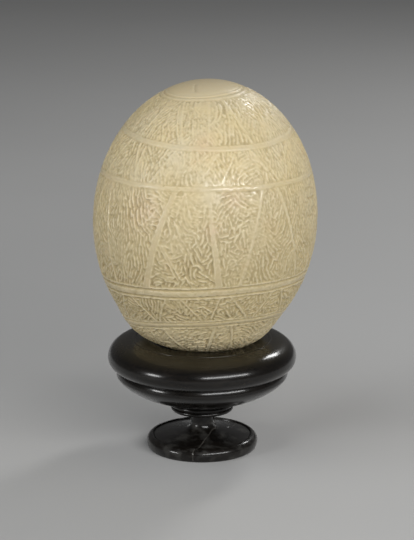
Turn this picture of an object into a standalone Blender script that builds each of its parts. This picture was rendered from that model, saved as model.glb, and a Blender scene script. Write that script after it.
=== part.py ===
"""A carved ostrich egg resting on a turned black stand.

Metres, +Z up. The origin is the middle of the foot's underside, on the surface that it stands on.
The front faces -Y. Three pieces: the egg, the dish that it rests in, and the foot with its stem.
"""

import math

import bpy
import numpy as np
from mathutils import Matrix, Vector

MM = 0.001

# Egg
EGG_LENGTH = 155.3 * MM
EGG_WIDTH = 125.4 * MM
EGG_CENTRE = Vector((1.8, 0.0, 134.1)) * MM
EGG_LEAN = 3.8  # degrees, top to the right
EGG_FACETS = 6400

# The grid that the carving is worked out on, before its flat stretches are thinned to the facets above
GRID_ROWS = 300
GRID_COLUMNS = 420

# Leaf-shaped gouges that cover the ground between the plain bands
CARVING_DEPTH = 1.1 * MM
GROUND_DEPTH = 0.35 * MM  # of the ridges that are left between the gouges
GOUGE_LENGTH = 15.0 * MM
GOUGE_WIDTH = 5.6 * MM
GOUGE_PITCH = 7.6 * MM  # least distance between two middles
GOUGE_SLANTS = (35.0, 80.0)  # degrees from level, to either side
GOUGE_TIP = 0.01  # share of its width that a gouge keeps at its ends
GOUGE_TRIES = 6000
GOUGE_SEED = 7

# Plain girdles round the egg: height over its middle, width, rise to the right and to the back in degrees
GIRDLES = (
    (72.2 * MM, 2.0 * MM, 3.2, 1.5),
    (52.1 * MM, 3.4 * MM, -1.0, 3.2),
    (28.0 * MM, 2.6 * MM, -0.2, -1.5),
    (-32.5 * MM, 4.2 * MM, 2.4, -4.0),
    (-55.2 * MM, 3.4 * MM, 3.5, -8.0),
)
GROOVE_WIDTH = 1.8 * MM  # the cut line along each side of a girdle or a strap

# Plain straps that zigzag between two girdles: the girdle above, how many, where the first is in degrees
# from the front, how far each leans to either side in degrees, and its width
ZIGZAGS = (
    (3, 14, -50.0, 10.0, 3.4 * MM),
    (4, 28, -38.5, 4.5, 1.2 * MM),
)

# Dish of the stand, from the top down
JOINT_GAP = 0.3 * MM  # between pieces that touch
SEAT_RADIUS = 18.5 * MM  # as far out as the egg is carried
BEAD_RADIUS = 38.3 * MM  # of the small bead round the hollow
BEAD_TOP = 64.6 * MM
BEAD_ROUND = 0.85 * MM
HOLLOW_RISE = 3.6 * MM  # from the edge of the seat to the bead
HOLLOW_CURVE = 1.3  # 1 is a cone
RIM_RADIUS = 53.4 * MM
RIM_HEIGHT = 53.4 * MM  # of the rim's widest place
RIM_ROUND = 11.5 * MM  # half the width of the roll that the rim is
RIM_RISE = 10.1 * MM
RIM_DROP = 8.3 * MM
BELLY_RADIUS = 48.4 * MM
BELLY_HEIGHT = 42.7 * MM
BELLY_LIP = (2.1 * MM, 2.5 * MM)  # width and height of the rounding over the belly
BELLY_BOTTOM = 28.8 * MM
BELLY_HOLLOW = 1.22  # an ellipse has 1 here and in the line below
BELLY_FALL = 1.44
COLLAR_RADIUS = 17.8 * MM
COLLAR_BOTTOM = 21.9 * MM
COLLAR_BEADS = 3
COLLAR_BULGE = 1.1 * MM
DISH_TURNS = 32

# Foot of the stand, from the top down
TENON_RADIUS = 4.2 * MM
TENON_LENGTH = 8.0 * MM
STEM_RADIUS = 6.1 * MM
STEM_FLARE = 4.4 * MM  # how far the stem widens into the foot
STEM_FLARE_TOP = 15.0 * MM
STEM_FLARE_BOTTOM = 10.0 * MM
FOOT_SLOPE = (19.0 * MM, 8.9 * MM)  # radius and height halfway down the foot's top
FOOT_STEP = (27.8 * MM, 7.4 * MM)  # where the top meets the rounded edge
FOOT_RADIUS = 31.6 * MM
FOOT_EDGE_TOP = 8.6 * MM
FOOT_EDGE_MIDDLE = 4.4 * MM
FOOT_EDGE_ROUND = 3.2 * MM
FOOT_TOE = 1.4 * MM
FOOT_TURNS = 28

CREAM = (0.66, 0.60, 0.45, 1.0)
CREAM_ROUGHNESS = 0.35
EBONY = (0.012, 0.010, 0.009, 1.0)
EBONY_ROUGHNESS = 0.18


def clear_scene():
    for item in list(bpy.data.objects):
        bpy.data.objects.remove(item, do_unlink=True)


def make_material(name, colour, roughness):
    material = bpy.data.materials.new(name)
    material.use_nodes = True
    shader = material.node_tree.nodes["Principled BSDF"]
    shader.inputs["Base Color"].default_value = colour
    shader.inputs["Roughness"].default_value = roughness
    shader.inputs["Metallic"].default_value = 0.0
    return material


def add_object(name, mesh, material):
    piece = bpy.data.objects.new(name, mesh)
    piece.data.materials.append(material)
    bpy.context.scene.collection.objects.link(piece)
    return piece


def arc(centre, radii, start, end, steps):
    """Points (radius, height) along an ellipse, from start to end in degrees; 0 points outwards, 90 up."""
    points = []
    for step in range(steps + 1):
        angle = math.radians(start + (end - start) * step / steps)
        points.append((centre[0] + radii[0] * math.cos(angle), centre[1] + radii[1] * math.sin(angle)))
    return points


def turn(name, outline, segments, material):
    """A solid turned about Z from an outline that starts and ends on the axis, down its outer side."""
    mesh = bpy.data.meshes.new(name)
    edges = [(place, place + 1) for place in range(len(outline) - 1)]
    mesh.from_pydata([(radius, 0.0, height) for radius, height in outline], edges, [])
    piece = add_object(name, mesh, material)
    screw = piece.modifiers.new("Turning", "SCREW")
    screw.axis = "Z"
    screw.steps = segments
    screw.render_steps = segments
    screw.use_merge_vertices = True
    screw.merge_threshold = 0.01 * MM
    screw.use_smooth_shade = True
    return piece


# The egg is worked out on a unit sphere. This matrix stretches it and leans it, before it is lifted.
STRETCH = Matrix.Diagonal((EGG_WIDTH / 2, EGG_WIDTH / 2, EGG_LENGTH / 2))
TO_EGG = Matrix.Rotation(math.radians(EGG_LEAN), 3, "Y") @ STRETCH
MEAN_RADIUS = (EGG_LENGTH + EGG_WIDTH) / 4


def girdle_ring(height, rise_right, rise_back):
    """The axis and polar angle, on the unit sphere, of the ring where a tilted plane cuts the egg."""
    plane = Vector((-math.tan(math.radians(rise_right)), -math.tan(math.radians(rise_back)), 1.0))
    on_sphere = TO_EGG.transposed() @ plane
    return on_sphere.normalized(), math.acos(height / on_sphere.length)


def egg_grid():
    """Rows' polar angles, those of poles and girdles, and points on the unit sphere by row and column."""
    rings = [girdle_ring(height, right, back) for height, _, right, back in GIRDLES]
    stations = np.array([0.0] + [polar for _, polar in rings] + [math.pi])
    axes = np.array([rings[0][0]] + [axis for axis, _ in rings] + [rings[-1][0]])
    polar = np.linspace(0.0, math.pi, GRID_ROWS + 1)[1:-1]
    axis = np.stack([np.interp(polar, stations, axes[:, k]) for k in range(3)], axis=1)
    axis /= np.linalg.norm(axis, axis=1, keepdims=True)
    front = np.array((0.0, -1.0, 0.0)) - axis * -axis[:, 1:2]
    front /= np.linalg.norm(front, axis=1, keepdims=True)
    right = np.cross(axis, front)
    around = np.radians(np.arange(GRID_COLUMNS) * 360.0 / GRID_COLUMNS)[None, :, None]
    side = front[:, None] * np.cos(around) + right[:, None] * np.sin(around)
    tall = polar[:, None, None]
    return polar, stations, axis[:, None] * np.cos(tall) + side * np.sin(tall)


def onto_egg(directions):
    """Points on the uncarved egg, and the surface's normals there, for directions on the unit sphere."""
    matrix = np.array(TO_EGG)
    normals = directions @ np.linalg.inv(matrix)
    normals /= np.linalg.norm(normals, axis=-1, keepdims=True)
    return directions @ matrix.T + np.array(EGG_CENTRE), normals


def distance_to_bands(polar, stations):
    """How far each grid point is from the nearest plain place's edge, less than 0 inside, in metres."""
    degrees = np.arange(GRID_COLUMNS) * 360.0 / GRID_COLUMNS
    cap = (polar - stations[1]) * MEAN_RADIUS
    nearest = np.repeat(cap[:, None], GRID_COLUMNS, axis=1)
    for (_, width, _, _), middle in zip(GIRDLES, stations[1:-1]):
        nearest = np.minimum(nearest, (np.abs(polar - middle) * MEAN_RADIUS - width / 2)[:, None])
    for zone, count, first, swing, width in ZIGZAGS:
        share = (polar - stations[zone]) / (stations[zone + 1] - stations[zone])
        inside = (share > 0) & (share < 1)
        height = (stations[zone + 1] - stations[zone]) * MEAN_RADIUS
        run = math.radians(2 * swing) * EGG_WIDTH / 2
        radius = np.sin(polar[inside])[:, None] * EGG_WIDTH / 2
        for strap in range(count):
            lean = -swing if strap % 2 else swing
            middle = first + 360.0 / count * strap + lean * (2 * share[inside] - 1)
            apart = (degrees[None, :] - middle[:, None] + 180.0) % 360.0 - 180.0
            across = np.abs(np.radians(apart)) * radius * height / math.hypot(height, run)
            nearest[inside] = np.minimum(nearest[inside], across - width / 2)
    return nearest


def gouge_places(points, rng):
    """Rows and columns of the gouges: random places, none closer to another than the gouges' pitch."""
    chosen = []
    taken = np.zeros((0, 3))
    for _ in range(GOUGE_TRIES):
        row = rng.integers(0, points.shape[0])
        column = rng.integers(0, GRID_COLUMNS)
        if rng.random() > math.sin(math.pi * (row + 1) / GRID_ROWS):
            continue
        place = points[row, column]
        if len(taken) and np.linalg.norm(taken - place, axis=1).min() < GOUGE_PITCH:
            continue
        chosen.append((row, column))
        taken = np.vstack((taken, place))
    return chosen


def carve_gouges(points, normals, rng):
    """How deep the leaf-shaped gouges cut at each grid point; they lean one way and then the other."""
    sunk = np.zeros(points.shape[:2])
    reach = int(GOUGE_LENGTH / (math.pi * MEAN_RADIUS / GRID_ROWS)) // 2 + 1
    for row, column in gouge_places(points, rng):
        centre, normal = points[row, column], normals[row, column]
        level = np.cross((0.0, 0.0, 1.0), normal)
        level /= np.linalg.norm(level)
        slant = math.radians(rng.choice((-1, 1)) * rng.uniform(*GOUGE_SLANTS))
        along = level * math.cos(slant) + np.cross(normal, level) * math.sin(slant)
        across = np.cross(normal, along)
        rows = slice(max(row - reach, 0), row + reach + 1)
        wide = min(int(reach / math.sin(math.pi * (row + 1) / GRID_ROWS)), GRID_COLUMNS // 2 - 1)
        columns = np.arange(column - wide, column + wide + 1) % GRID_COLUMNS
        offset = points[rows][:, columns] - centre
        leaf = np.clip(1.0 - (offset @ along / (GOUGE_LENGTH / 2)) ** 2, 0.0, 1.0)
        sideways = np.abs(offset @ across) / (GOUGE_WIDTH / 2 * np.maximum(leaf, GOUGE_TIP))
        depth = CARVING_DEPTH * np.sqrt(leaf) * np.clip(1.0 - sideways, 0.0, 1.0)
        sunk[rows, columns] = np.maximum(sunk[rows, columns], depth)
    return sunk


def make_egg(material):
    """The egg, in one piece: plain girdles and zigzag straps with cut edges, and gouges between them."""
    rng = np.random.default_rng(GOUGE_SEED)
    polar, stations, directions = egg_grid()
    points, normals = onto_egg(directions)
    clear = distance_to_bands(polar, stations)
    ground = np.clip(clear / (GROOVE_WIDTH / 2), 0.0, 1.0)
    gouged = carve_gouges(points, normals, rng) * ground
    groove = 1.0 - np.abs(clear - GROOVE_WIDTH / 2) / (GROOVE_WIDTH / 2)
    lined = CARVING_DEPTH * np.clip(groove, 0.0, 1.0)
    sunk = np.maximum(np.maximum(gouged, lined), GROUND_DEPTH * ground)
    points -= normals * sunk[..., None]

    poles, _ = onto_egg(np.array((directions[0].mean(axis=0), directions[-1].mean(axis=0))))
    last = points.shape[0] * GRID_COLUMNS
    index = np.arange(last).reshape(points.shape[:2])
    after = np.roll(index, -1, axis=1)
    quads = np.stack((index[:-1], index[1:], after[1:], after[:-1]), axis=-1).reshape(-1, 4)
    top = [(last, a, b) for a, b in zip(index[0], after[0])]
    bottom = [(last + 1, b, a) for a, b in zip(index[-1], after[-1])]
    mesh = bpy.data.meshes.new("ostrich_egg")
    mesh.from_pydata(np.vstack((points.reshape(-1, 3), poles)).tolist(), [], quads.tolist() + top + bottom)
    egg = add_object("ostrich_egg", mesh, material)
    facets = egg.modifiers.new("Facets", "DECIMATE")
    facets.ratio = EGG_FACETS / (2 * len(quads))
    return egg


def seat_height(radius):
    """Height of the seat under the egg at a radius from the stand's axis."""
    drop = EGG_LENGTH / 2 * math.sqrt(1.0 - (2 * radius / EGG_WIDTH) ** 2)
    return EGG_CENTRE.z - drop - JOINT_GAP


def belly_curve(steps):
    """The underside of the dish, from its widest place in to the collar."""
    reach = BELLY_RADIUS - COLLAR_RADIUS
    points = []
    for step in range(1, steps + 1):
        turned = math.pi / 2 * step / steps
        across = max(math.cos(turned), 0.0) ** BELLY_HOLLOW
        down = math.sin(turned) ** BELLY_FALL
        points.append((COLLAR_RADIUS + reach * across, BELLY_HEIGHT + (BELLY_BOTTOM - BELLY_HEIGHT) * down))
    return points


def collar_rings():
    """The collar's thin rounded rings, one under another, from the belly down."""
    height = (BELLY_BOTTOM - COLLAR_BOTTOM) / COLLAR_BEADS
    points = []
    for ring in range(COLLAR_BEADS):
        middle = (COLLAR_RADIUS - COLLAR_BULGE, BELLY_BOTTOM - height * (ring + 0.5))
        points += arc(middle, (COLLAR_BULGE, height / 2), 50, -60, 2)
    points[-1] = (points[-1][0], COLLAR_BOTTOM)
    return points


def dish_outline():
    """Radius and height from the middle of the seat, over the rim and down to the stem's socket."""
    outline = [(SEAT_RADIUS * step / 3, seat_height(SEAT_RADIUS * step / 3)) for step in range(4)]
    hollow_width = BEAD_RADIUS - BEAD_ROUND - SEAT_RADIUS
    seat_edge = seat_height(SEAT_RADIUS)
    for share in (0.5, 1.0):
        outline.append((SEAT_RADIUS + hollow_width * share, seat_edge + HOLLOW_RISE * share**HOLLOW_CURVE))
    outline += arc((BEAD_RADIUS, BEAD_TOP - BEAD_ROUND), (BEAD_ROUND, BEAD_ROUND), 140, 20, 2)
    rim_middle = (RIM_RADIUS - RIM_ROUND, RIM_HEIGHT)
    outline += arc(rim_middle, (RIM_ROUND, RIM_RISE), 102, 0, 7)
    outline += arc(rim_middle, (RIM_ROUND, RIM_DROP), -20, -66, 3)
    outline += arc((BELLY_RADIUS - BELLY_LIP[0], BELLY_HEIGHT), BELLY_LIP, 85, 0, 2)
    outline += belly_curve(6)
    outline += collar_rings()
    socket = TENON_RADIUS + JOINT_GAP
    socket_top = COLLAR_BOTTOM + TENON_LENGTH + JOINT_GAP
    outline += [(socket, COLLAR_BOTTOM), (socket, socket_top), (0.0, socket_top)]
    return outline


def foot_outline():
    """Radius and height from the top of the tenon, down the stem and over the foot to its underside."""
    shoulder = COLLAR_BOTTOM - JOINT_GAP
    flare = (STEM_FLARE, STEM_FLARE_TOP - STEM_FLARE_BOTTOM)
    edge_middle = (FOOT_RADIUS - FOOT_EDGE_ROUND, FOOT_EDGE_MIDDLE)
    edge = (FOOT_EDGE_ROUND, FOOT_EDGE_TOP - FOOT_EDGE_MIDDLE)

    outline = [(0.0, shoulder + TENON_LENGTH), (TENON_RADIUS, shoulder + TENON_LENGTH)]
    outline += [(TENON_RADIUS, shoulder), (STEM_RADIUS, shoulder)]
    outline += arc((STEM_RADIUS + STEM_FLARE, STEM_FLARE_TOP), flare, 180, 265, 4)
    outline += [FOOT_SLOPE, FOOT_STEP]
    outline += arc(edge_middle, edge, 95, 0, 4)
    outline += arc((FOOT_RADIUS - FOOT_TOE, FOOT_TOE), (FOOT_TOE, FOOT_TOE), 0, -90, 2)
    outline.append((0.0, 0.0))
    return outline


def build():
    clear_scene()
    shell = make_material("eggshell", CREAM, CREAM_ROUGHNESS)
    ebony = make_material("ebony", EBONY, EBONY_ROUGHNESS)
    make_egg(shell)
    turn("stand_dish", dish_outline(), DISH_TURNS, ebony)
    turn("stand_foot", foot_outline(), FOOT_TURNS, ebony)


build()
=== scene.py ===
# A carved ostrich egg resting in a turned ebony stand. Settings are in millimetres and degrees.
# +Z is up and the front faces -Y. Degrees around count from the front, with + to the right.
import math
import time

import bpy
import numpy as np
from mathutils import Matrix, Vector


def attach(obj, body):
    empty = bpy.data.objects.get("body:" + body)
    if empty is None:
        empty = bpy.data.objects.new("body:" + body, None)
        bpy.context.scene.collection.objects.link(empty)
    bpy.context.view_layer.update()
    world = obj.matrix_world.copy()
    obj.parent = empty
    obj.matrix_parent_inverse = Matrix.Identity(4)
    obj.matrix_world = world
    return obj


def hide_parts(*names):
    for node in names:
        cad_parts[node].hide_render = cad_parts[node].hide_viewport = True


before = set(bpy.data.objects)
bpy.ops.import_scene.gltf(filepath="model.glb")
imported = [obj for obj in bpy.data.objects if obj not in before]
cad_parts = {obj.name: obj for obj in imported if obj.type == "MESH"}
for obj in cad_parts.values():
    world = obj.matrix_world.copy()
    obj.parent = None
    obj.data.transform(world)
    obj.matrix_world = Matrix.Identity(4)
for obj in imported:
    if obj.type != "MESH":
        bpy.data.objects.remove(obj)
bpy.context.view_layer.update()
mm = 0.001
farAway = 99.0  # more than any distance that is looked for
started = time.time()


def report(words):
    print(f"[{time.time() - started:5.1f} s] {words}", flush=True)


# helpers that make meshes

def meshPiece(name, points, faces, material):  # points in mm
    mesh = bpy.data.meshes.new(name)
    mesh.from_pydata((np.asarray(points) * mm).tolist(), [], faces)
    mesh.shade_smooth()
    mesh.materials.append(material)
    piece = bpy.data.objects.new(name, mesh)
    bpy.context.scene.collection.objects.link(piece)
    return piece


def storeValues(mesh, name, values):
    layer = mesh.attributes.new(name, "FLOAT", "POINT")
    layer.data.foreach_set("value", np.asarray(values, np.float32).ravel())


def settle(piece, modifier):  # the modifier's result becomes the piece's own mesh
    view = bpy.context.evaluated_depsgraph_get()
    result = bpy.data.meshes.new_from_object(piece.evaluated_get(view), depsgraph=view)
    piece.modifiers.remove(modifier)
    rough = piece.data
    piece.data = result
    bpy.data.meshes.remove(rough)
    result.name = piece.name


def wrapGrid(rows, columns):  # faces of a closed grid, with one more point at each end
    index = np.arange(rows * columns).reshape(rows, columns)
    after = np.roll(index, -1, axis=1)
    quads = np.stack((index[:-1], index[1:], after[1:], after[:-1]), axis=-1).reshape(-1, 4).tolist()
    first = [(index.size, a, b) for a, b in zip(index[0].tolist(), after[0].tolist())]
    last = [(index.size + 1, b, a) for a, b in zip(index[-1].tolist(), after[-1].tolist())]
    return quads + first + last


def softNoise(points, size, seed):  # smooth values between about -1 and 1, in lumps of that size
    waves = 14
    steepness = (0.6, 1.5)  # of single waves
    level = 0.63  # keeps the sum of the waves in that range
    rng = np.random.default_rng(seed)
    total = np.zeros(points.shape[:-1])
    for _ in range(waves):
        direction = rng.normal(size=3)
        direction *= rng.uniform(*steepness) * 2 * math.pi / size / np.linalg.norm(direction)
        total += np.sin(points @ direction + rng.uniform(0, 2 * math.pi))
    return total * level / math.sqrt(waves / 2)


def lumpy(points, setting):  # the setting: how high the lumps are, their size and a seed
    height, size, seed = setting
    return height * softNoise(points, size, seed)


def blurGrid(values, passes):  # each pass mixes a point with its neighbours, down and then around
    for _ in range(passes):
        above = np.vstack((values[:1], values[:-1]))
        below = np.vstack((values[1:], values[-1:]))
        values = (above + 2 * values + below) / 4
        values = (np.roll(values, 1, axis=1) + 2 * values + np.roll(values, -1, axis=1)) / 4
    return values


# helpers that make materials from nodes; a ramp is set by where it starts and ends, and its results there

def newMaterial(name):
    material = bpy.data.materials.new(name)
    material.use_nodes = True
    return material.node_tree, material.node_tree.nodes["Principled BSDF"], material


def node(tree, kind, **values):
    made = tree.nodes.new("ShaderNode" + kind)
    for key, value in values.items():
        setattr(made, key, value)
    return made


def give(tree, socket, value):  # a socket takes a link, a colour or a number
    if isinstance(value, bpy.types.NodeSocket):
        tree.links.new(value, socket)
    elif isinstance(value, tuple):
        socket.default_value = (*value, 1.0)
    else:
        socket.default_value = value


def setSockets(shader, values):
    for name, value in values.items():
        shader.inputs[name].default_value = value


def noise(tree, place, scale, detail=3.0):  # scale: lumps a metre
    made = node(tree, "TexNoise")
    made.inputs["Scale"].default_value = scale
    made.inputs["Detail"].default_value = detail
    give(tree, made.inputs["Vector"], place)
    return made.outputs["Fac"]


def ramp(tree, value, low, high, lowResult=0.0, highResult=1.0):
    made = node(tree, "MapRange", clamp=True)
    numbers = {"From Min": low, "From Max": high, "To Min": lowResult, "To Max": highResult}
    for socket, number in numbers.items():
        made.inputs[socket].default_value = number
    give(tree, made.inputs["Value"], value)
    return made.outputs["Result"]


def patchy(tree, place, setting):  # the setting: lumps a metre, detail and the ramp
    scale, detail, *limits = setting
    return ramp(tree, noise(tree, place, scale, detail), *limits)


def blendColour(tree, amount, first, second):
    firstColour, secondColour, result = 6, 7, 2  # the places of a mix node's colour sockets
    made = node(tree, "Mix", data_type="RGBA", clamp_factor=True)
    give(tree, made.inputs["Factor"], amount)
    give(tree, made.inputs[firstColour], first)
    give(tree, made.inputs[secondColour], second)
    return made.outputs[result]


def combine(tree, kind, first, second):
    made = node(tree, "Math", operation=kind)
    give(tree, made.inputs[0], first)
    give(tree, made.inputs[1], second)
    return made.outputs[0]


def attribute(tree, name):
    return node(tree, "Attribute", attribute_name=name).outputs["Fac"]


def bump(tree, height, strength, distance, normal=None):  # distance in mm
    made = node(tree, "Bump")
    made.inputs["Strength"].default_value = strength
    made.inputs["Distance"].default_value = distance * mm
    give(tree, made.inputs["Height"], height)
    if normal is not None:
        give(tree, made.inputs["Normal"], normal)
    return made.outputs["Normal"]


def objectPlace(tree, scale=(1.0, 1.0, 1.0)):
    mapping = node(tree, "Mapping")
    mapping.inputs["Scale"].default_value = scale
    give(tree, mapping.inputs["Vector"], node(tree, "TexCoord").outputs["Object"])
    return mapping.outputs["Vector"]


def heightRamp(tree, place, low, high):  # heights in mm
    split = node(tree, "SeparateXYZ")
    give(tree, split.inputs[0], place)
    return ramp(tree, split.outputs["Z"], low * mm, high * mm)


# camera: above the front, turned slightly down, as far off as a studio camera with a long lens
viewpoint = {
    "above": 15.1,
    "distance": 1330.0,
    "aimHeight": 103.6,
    "aimRight": 2.8,
    "lens": 157.9,
    "sensor": 36.0,
    "nearest": 50.0,  # that it sees
}


def placeCamera():
    camera = bpy.data.objects.new("camera", bpy.data.cameras.new("camera"))
    bpy.context.scene.collection.objects.link(camera)
    camera.data.lens = viewpoint["lens"]
    camera.data.sensor_width = viewpoint["sensor"]
    camera.data.clip_start = viewpoint["nearest"] * mm
    down = math.radians(viewpoint["above"])
    back = viewpoint["distance"] * math.cos(down)
    height = viewpoint["aimHeight"] + viewpoint["distance"] * math.sin(down)
    camera.location = Vector((viewpoint["aimRight"], -back, height)) * mm
    camera.rotation_euler = (math.pi / 2 - down, 0.0, 0.0)
    bpy.context.scene.camera = camera


placeCamera()

# the egg: its shape, the plain bands left on it, and the thin ridges left standing between them.
# Zone 0 is the bare cap, and zones 1 to 5 lie under the girdles in turn.
egg = {
    "centre": (1.8, 0.0, 134.1),
    "length": 155.3,
    "width": 125.4,
    "lean": 3.8,  # top to the right
    # the lower end is blunt: where it starts to swell, is widest and meets the seat, as shares of the
    # half length, and how much wider it gets
    "bluntEnd": (0.64, 0.87, 0.955, 0.086),
    "rows": 620,
    "columns": 1100,
    "triangles": 197000,
    "seed": 11,
    # girdles: height over the egg's middle, width, rise to the right and to the back,
    # width and depth of the line cut along each side, width of the light lip outside it
    "girdles": [
        (72.2, 2.0, 3.2, 1.5, 1.0, 0.5, 0.0),
        (52.1, 2.7, -1.0, 3.2, 0.8, 0.45, 0.0),
        (28.0, 2.3, -0.2, -1.5, 0.8, 0.45, 0.0),
        (-32.5, 3.3, 2.4, -4.0, 1.25, 0.75, 0.9),
        (-55.2, 2.7, 3.5, -8.0, 1.05, 0.65, 0.8),
    ],
    "bandSink": 0.1,  # of a girdle's middle, which leaves its edges standing
    "bandEdge": 0.9,  # how far in from its edge a girdle has sunk that much
    "bandFade": 0.5,  # how far in from their edges bands and straps have their full colour
    # lines cut round the cap: how far over the top girdle, width and depth
    "capLines": [(0.6, 1.1, 0.5), (3.0, 0.8, 0.28)],
    # lines cut along both sides of a broad strap: the width over which a strap has them,
    # how far from its middle as a share of its width, their width and depth
    "strapLines": (3.0, 0.24, 0.8, 0.16),
    "lineWear": 0.4,  # how much the depth of all lines follows the wear
    "scratches": [(7.0, -36.5, 14.5, -16.7, 0.8, 0.4)],  # ends in degrees down and around, width, depth
    # straps that zigzag down a zone: how many, the first one's place, lean and width
    "zigzags": {
        1: (14, -22.0, 6.0, 0.9),
        2: (18, -46.0, 5.5, 0.95),
        4: (22, -43.0, 6.5, 0.95),
        5: (14, -26.0, 9.0, 1.05),
    },
    # how they differ: shares of the lean, degrees around and shares of the width
    "zigzagSpread": ((0.6, 1.4), (-2.0, 2.0), (0.8, 1.2)),
    # straps of zone 3, the wide one: degrees around at the top and at the bottom, width at both
    "broadStraps": [
        (-60.0, -55.5, 1.1, 1.1),
        (-16.0, -34.6, 2.8, 4.4),
        (0.6, 7.9, 1.3, 4.2),
        (31.0, 17.6, 1.5, 2.2),
        (40.4, 58.0, 1.6, 1.4),
        (86.0, 69.5, 3.0, 4.2),
        (97.0, 112.0, 2.0, 2.4),
        (139.0, 120.0, 3.4, 4.4),
        (152.0, 166.0, 3.0, 4.2),
        (190.0, 173.0, 2.0, 2.4),
        (203.0, 216.0, 3.2, 4.4),
        (243.0, 224.0, 1.8, 2.3),
        (254.0, 268.0, 3.2, 4.3),
        (292.0, 276.0, 2.0, 2.4),
    ],
    # thin ribs: degrees down from the top and around, at each end, and how many side by side
    "ribs": [
        (92.5, -22.8, 108.4, -13.2, 2),
        (92.9, 55.2, 104.1, 49.1, 2),
        (28.7, -26.9, 49.4, -18.6, 2),
        (26.7, 26.3, 42.0, 17.9, 2),
        (50.5, 4.8, 61.5, -2.2, 2),
        (50.0, -44.2, 66.5, -43.4, 1),
        (70.5, -11.3, 81.0, -14.6, 1),
        (70.5, -11.1, 81.0, -7.4, 1),
    ],
    "ribWidth": 0.8,
    "ribGap": 1.7,  # between the two middles
    "waver": (0.25, 22.0, 3),  # of all these edges; here and below: how much, over what length, seed
    # ridges run in patches: how many there are, and in each zone how far off upright they run, how much
    # that differs from patch to patch, and how they fan out and curl in degrees a millimetre
    "patches": 560,
    "patchStyle": {
        0: (12.0, 10.0, 1.0, 1.0),
        1: (18.0, 12.0, 2.0, 2.0),
        2: (18.0, 14.0, 3.0, 3.0),
        3: (16.0, 14.0, 3.0, 3.5),
        4: (58.0, 24.0, 5.0, 3.0),
        5: (66.0, 18.0, 4.0, 3.0),
    },
    "fanSpread": (0.3, 1.4),
    "curlSpread": (0.2, 1.5),
    # livelier parts: zone, degrees around from and to, how many more patches there, and their style
    "lively": [
        (3, -27.0, 30.0, 80, (60.0, 34.0, 5.0, 5.0)),
        (3, 100.0, 250.0, 150, (50.0, 34.0, 5.0, 5.0)),
    ],
    # places round a zone, with a sunburst at every second one: zone, how many, the first one's place,
    # and how many rows of the grid they are over the zone's lower edge
    "sunbursts": (4, 28, -34.0, 8),
    "patchEdges": [(2.0, 9.0, 21), (2.0, 9.0, 22), (2.0, 9.0, 23)],  # how they stray along x, y and z
    "grainWaver": (0.15, 14.0, 24),  # in radians
    "step": 0.4,  # between the points that a ridge runs through
    "follow": 0.5,  # how much of the turn towards its patch's direction a ridge takes at a step
    "sharpest": 0.7,  # turn in radians at which a ridge ends
    # ridges, the long ones first: width, length, the shortest that is kept and the room beside them
    "ridges": [
        ((0.55, 1.15), (4.0, 11.0), 3.2, 1.0),
        ((0.55, 1.1), (2.4, 6.0), 1.7, 0.9),
        ((0.5, 0.85), (1.2, 3.6), 0.8, 0.75),
    ],
    "gapSpread": (0.35, 20.0, 25),  # how the room beside them differs over the egg
    "ends": (1.3, 7.0),  # from pointed to blunt
    "touch": 0.22,  # a ridge ends where less than this share of the room beside it is left
    "ridgeReach": 2.0,  # how far from a ridge the room is measured
    "ridgeDrop": (0.0, 0.2),  # of a ridge's top under the plain bands
    "dropReach": 0.5,  # how far from the ridge its drop counts
    "wear": (0.25, 24.0, 5),
    "ragged": (0.24, 1.7, 31),  # how far the ridges' edges stray
    "tooth": (0.22, 2.6, 8),  # marks that cross the plain bands and straps too
    # depth of the ground between the ridges at some degrees down from the top
    "ground": [(20, 0.56), (48, 0.66), (66, 0.8), (85, 0.95), (108, 1.2), (125, 1.2), (150, 1.25)],
    "slope": 0.75,  # width of the slope from a ridge down to the ground
    "softened": 1,  # passes of blur, because handling has softened the tool marks
    "proudReach": 9,  # passes of blur that give the level a ridge is proud of
    "proudHeight": 0.45,  # from fully sunk to fully proud
    # places that are nearly plain: degrees down and around, radius
    "plain": [
        (73.5, -1.0, 7.0),
        (57.5, 20.0, 6.0),
        (55.5, 30.0, 4.0),
        (40.0, 50.0, 6.0),
        (26.5, 2.0, 4.5),
        (76.5, 15.5, 4.0),
        (88.0, 26.0, 3.5),
        (98.0, -57.0, 4.5),
    ],
    "plainShare": 0.5,
    # places with a rosy tinge
    "rosy": [
        (73.0, 15.0, 5.5),
        (86.5, 3.2, 4.5),
        (71.0, 10.5, 2.5),
        (46.0, -2.0, 6.0),
        (80.0, -34.0, 9.0),
    ],
    "skin": [(2.0, 0.0, 21.0)],  # the bare cap
    # spots that are glossy from handling
    "glossy": [
        (66.2, 3.3, 3.5),
        (65.3, 9.2, 4.5),
        (67.9, 13.9, 4.5),
        (67.8, 19.5, 4.5),
        (70.4, 24.4, 4.0),
        (71.9, 11.1, 4.0),
        (27.6, 51.2, 3.0),
        (64.0, 160.0, 6.0),
        (70.0, 230.0, 7.0),
        (60.0, 110.0, 5.0),
    ],
}
eggRadius = (egg["length"] + egg["width"]) / 4  # on average


def unitToEgg():
    half = Vector((egg["width"], egg["width"], egg["length"])) / 2
    return Matrix.Rotation(math.radians(egg["lean"]), 3, "Y") @ Matrix.Diagonal(half)


def girdleRing(height, riseRight, riseBack):  # axis and angle down of a tilted ring, on the unit sphere
    plane = Vector((-math.tan(math.radians(riseRight)), -math.tan(math.radians(riseBack)), 1.0))
    onSphere = unitToEgg().transposed() @ plane
    return onSphere.normalized(), math.acos(height / onSphere.length)


def unitLength(vectors):
    return vectors / np.linalg.norm(vectors, axis=-1, keepdims=True)


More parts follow.
